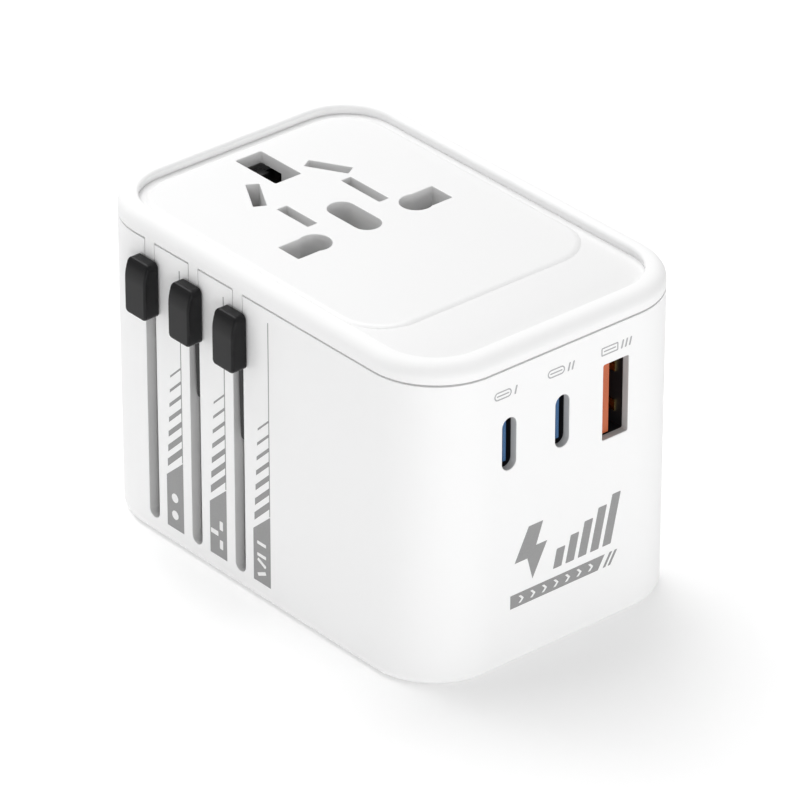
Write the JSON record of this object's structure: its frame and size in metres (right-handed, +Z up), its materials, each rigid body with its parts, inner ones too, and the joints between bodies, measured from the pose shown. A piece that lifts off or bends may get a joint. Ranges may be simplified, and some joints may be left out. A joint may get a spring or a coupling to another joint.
{
  "type": "universal travel adapter",
  "caption": "Box-shaped travel plug adapter: multi-standard socket on top, three side sliders that push out different plug pins below, and USB ports on one end.",
  "frame": {"origin": "centre of the housing's flat underside, where the adapter stands", "axes": "+Z up out of the socket face, -Y out of the USB ports, -X out of the side with the three slider knobs"},
  "size_m": [0.0538, 0.0762, 0.0523],
  "materials": {
    "white_shell": "satin moulded polycarbonate",
    "white_gloss": "smooth white polycarbonate",
    "inner_plastic": "plain moulded nylon",
    "black_plastic": "satin black moulded plastic",
    "spring_steel": "drawn wire and plated steel",
    "contact_brass": "pressed strip",
    "nickel_pin": "nickel-plated brass",
    "port_steel": "stamped and plated",
    "blue_tongue": "moulded nylon",
    "orange_tongue": "moulded nylon",
    "board_green": "solder mask on glass-epoxy",
    "ferrite": "sintered ferrite",
    "winding_tape": "polyester tape over copper wire",
    "can_aluminium": "drawn",
    "fuse_ceramic": "fired ceramic tube"
  },
  "bodies": {
    "housing": {"base_screws": "spring_steel", "bay_divider": "inner_plastic", "board_spacers": "inner_plastic", "bulk_capacitors": "can_aluminium", "fuse": "fuse_ceramic", "fuse_clips": "contact_brass", "guide_wall": "inner_plastic", "heat_spreader": "can_aluminium", "input_choke": "ferrite", "line_contact": "contact_brass", "line_strap": "contact_brass", "main_shell": "white_shell", "mains_board": "board_green", "neutral_contact": "contact_brass", "neutral_strap": "contact_brass", "plug_plate": "white_shell", "shutter_springs": "spring_steel", "socket_base": "inner_plastic", "socket_plate": "white_gloss", "switching_chip": "black_plastic", "top_frame": "white_shell", "transformer_core": "ferrite", "transformer_winding": "winding_tape", "usb_a_shell": "port_steel", "usb_a_tongue": "orange_tongue", "usb_board": "board_green", "usb_c1_shell": "port_steel", "usb_c1_tongue": "blue_tongue", "usb_c2_shell": "port_steel", "usb_c2_tongue": "blue_tongue"},
    "eu_slider": {"eu_knob": "black_plastic", "eu_carrier": "inner_plastic", "eu_pins": "nickel_pin", "eu_pin_sleeves": "black_plastic"},
    "uk_slider": {"uk_knob": "black_plastic", "uk_lock_arm": "black_plastic", "uk_carrier": "inner_plastic", "uk_pins": "nickel_pin", "uk_pin_sleeves": "black_plastic", "uk_earth_pin": "black_plastic"},
    "us_slider": {"us_knob": "black_plastic", "us_lock_arm": "black_plastic", "us_carrier": "inner_plastic"},
    "left_blade": {"us_rotor_left": "inner_plastic", "us_blade_left": "nickel_pin"},
    "right_blade": {"us_rotor_right": "inner_plastic", "us_blade_right": "nickel_pin"},
    "socket_shutter": {"shutter": "black_plastic"}
  },
  "joints": [
    {"name": "eu_slide", "type": "slide", "parent": "housing", "child": "eu_slider", "axis": [0, 0, -1], "range_m": [0, 0.02]},
    {"name": "uk_slide", "type": "slide", "parent": "housing", "child": "uk_slider", "axis": [0, 0, -1], "range_m": [0, 0.0237]},
    {"name": "us_slide", "type": "slide", "parent": "housing", "child": "us_slider", "axis": [0, 0, -1], "range_m": [0, 0.018]},
    {"name": "left_blade_turn", "type": "hinge", "parent": "us_slider", "child": "left_blade", "pos_m": [-0.00635, -0.004, 0.0203], "axis": [0, 0, -1], "range_deg": [0, 30]},
    {"name": "right_blade_turn", "type": "hinge", "parent": "us_slider", "child": "right_blade", "pos_m": [0.00635, -0.004, 0.0203], "axis": [0, 0, 1], "range_deg": [0, 30]},
    {"name": "shutter_slide", "type": "slide", "parent": "housing", "child": "socket_shutter", "axis": [0, 1, 0], "range_m": [0, 0.0029], "stiffness_N_per_m": 300, "springref_m": -0.001}
  ]
}
